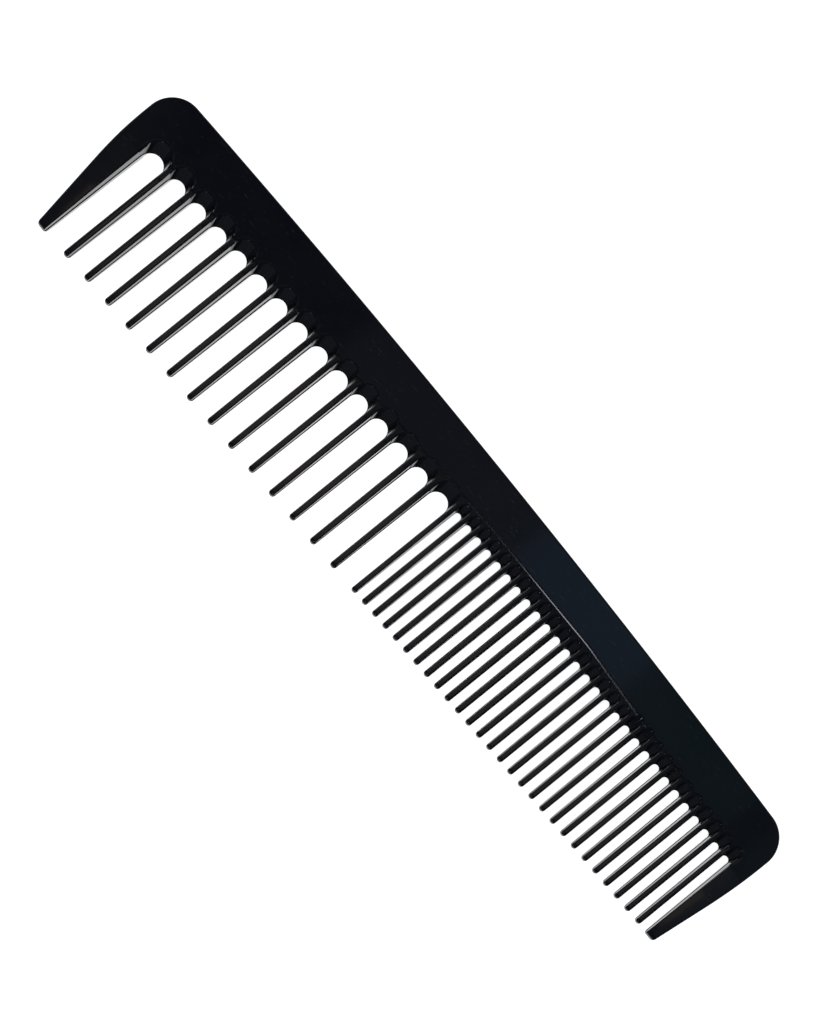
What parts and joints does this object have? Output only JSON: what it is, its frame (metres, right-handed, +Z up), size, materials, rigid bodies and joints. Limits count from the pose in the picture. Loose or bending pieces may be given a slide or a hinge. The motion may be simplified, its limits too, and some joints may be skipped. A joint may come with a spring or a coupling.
{
  "type": "hair comb",
  "caption": "Flat moulded dressing comb with a slightly arched back, wide-set teeth over one half, close-set teeth over the other and a broad guard tooth at each end.",
  "frame": {"origin": "centre of the footprint, on the surface that the comb lies on", "axes": "+X along the comb from the wide-spaced end to the close-set end, +Y from the tooth tips to the back, +Z up through the thickness"},
  "size_m": [0.1788, 0.0376, 0.004],
  "materials": {
    "black_plastic": "polished injection moulding, black through and through"
  },
  "bodies": {
    "root": {"spine": "black_plastic", "coarse_guard": "black_plastic", "coarse_tooth_01": "black_plastic", "coarse_tooth_02": "black_plastic", "coarse_tooth_03": "black_plastic", "coarse_tooth_04": "black_plastic", "coarse_tooth_05": "black_plastic", "coarse_tooth_06": "black_plastic", "coarse_tooth_07": "black_plastic", "coarse_tooth_08": "black_plastic", "coarse_tooth_09": "black_plastic", "coarse_tooth_10": "black_plastic", "coarse_tooth_11": "black_plastic", "coarse_tooth_12": "black_plastic", "coarse_tooth_13": "black_plastic", "coarse_tooth_14": "black_plastic", "fine_tooth_01": "black_plastic", "fine_tooth_02": "black_plastic", "fine_tooth_03": "black_plastic", "fine_tooth_04": "black_plastic", "fine_tooth_05": "black_plastic", "fine_tooth_06": "black_plastic", "fine_tooth_07": "black_plastic", "fine_tooth_08": "black_plastic", "fine_tooth_09": "black_plastic", "fine_tooth_10": "black_plastic", "fine_tooth_11": "black_plastic", "fine_tooth_12": "black_plastic", "fine_tooth_13": "black_plastic", "fine_tooth_14": "black_plastic", "fine_tooth_15": "black_plastic", "fine_tooth_16": "black_plastic", "fine_tooth_17": "black_plastic", "fine_tooth_18": "black_plastic", "fine_tooth_19": "black_plastic", "fine_tooth_20": "black_plastic", "fine_tooth_21": "black_plastic", "fine_tooth_22": "black_plastic", "fine_tooth_23": "black_plastic", "fine_tooth_24": "black_plastic", "fine_tooth_25": "black_plastic", "fine_tooth_26": "black_plastic", "fine_tooth_27": "black_plastic", "fine_tooth_28": "black_plastic", "fine_guard": "black_plastic"}
  },
  "joints": []
}
